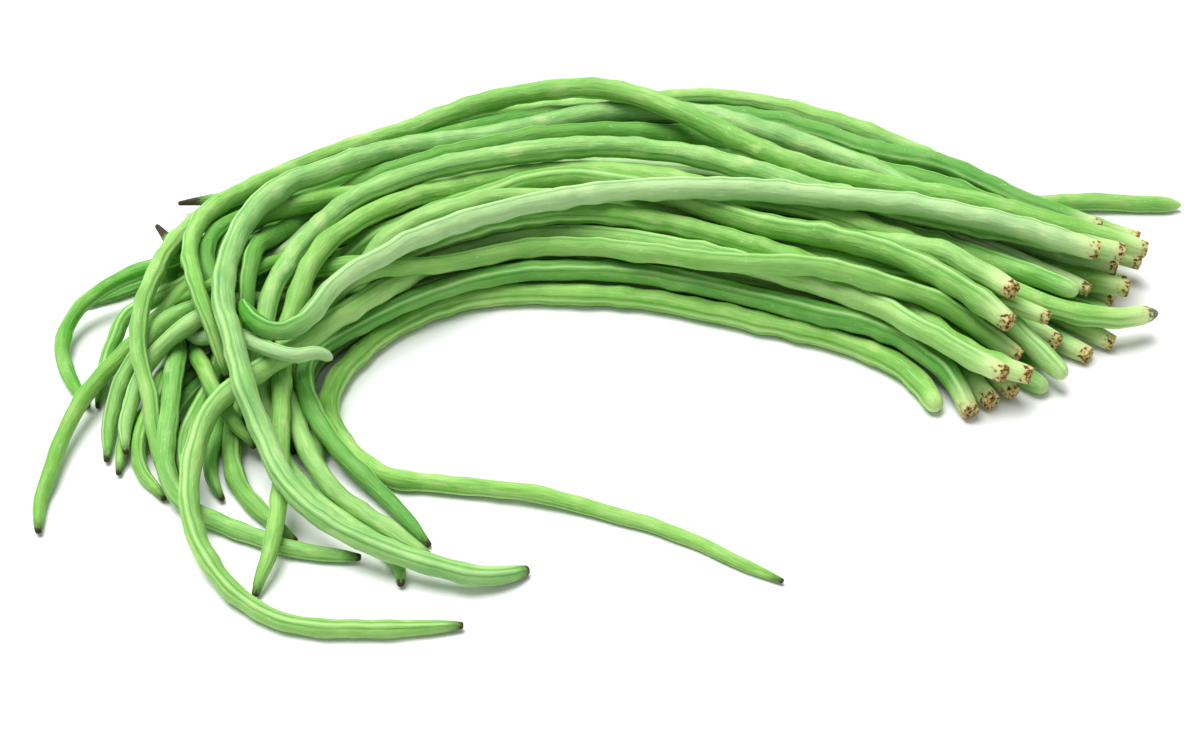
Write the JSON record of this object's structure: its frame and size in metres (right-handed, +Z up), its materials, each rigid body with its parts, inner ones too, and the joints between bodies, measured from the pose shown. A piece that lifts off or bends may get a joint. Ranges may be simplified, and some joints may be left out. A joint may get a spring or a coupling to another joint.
{
  "type": "yardlong bean bunch",
  "caption": "Loose bunch of long limp green bean pods lying in an arch, cut stem ends fanned at one side and tapering tips trailing at the other.",
  "frame": {"origin": "centre of the bunch's box, at the surface it lies on", "axes": "+X along the bunch's length towards the cut stem ends, +Y towards the back of the arch, +Z up"},
  "size_m": [0.423, 0.2798, 0.04],
  "materials": {
    "bean_pod": "fresh green pod skin, smooth with a faint waxy sheen, mottled from yellow-green to mid green"
  },
  "bodies": {
    "root": {"back_straight_pod": "bean_pod", "bottom_loop_pod": "bean_pod", "crossing_pod": "bean_pod", "crossing_tip_pod": "bean_pod", "curled_pod": "bean_pod", "far_left_pod": "bean_pod", "grey_ended_pod": "bean_pod", "hidden_pod_b": "bean_pod", "hidden_pod_c": "bean_pod", "hidden_pod_e": "bean_pod", "hidden_pod_f": "bean_pod", "hidden_pod_h": "bean_pod", "hidden_pod_i": "bean_pod", "high_back_pod": "bean_pod", "inner_arch_pod": "bean_pod", "inner_fan_pod_a": "bean_pod", "inner_fan_pod_b": "bean_pod", "inside_loop_pod": "bean_pod", "left_fan_pod_a": "bean_pod", "left_fan_pod_b": "bean_pod", "left_fan_pod_c": "bean_pod", "left_fan_pod_d": "bean_pod", "long_tail_pod": "bean_pod", "low_fan_pod": "bean_pod", "low_fan_pod_b": "bean_pod", "low_fan_pod_c": "bean_pod", "low_stem_pod": "bean_pod", "outer_loop_pod": "bean_pod", "pale_top_pod": "bean_pod", "rim_pod": "bean_pod", "scarred_inner_pod": "bean_pod", "second_arch_pod": "bean_pod", "second_tail_pod": "bean_pod", "short_tip_pod_a": "bean_pod", "short_tip_pod_b": "bean_pod", "upturned_pod": "bean_pod"}
  },
  "joints": []
}
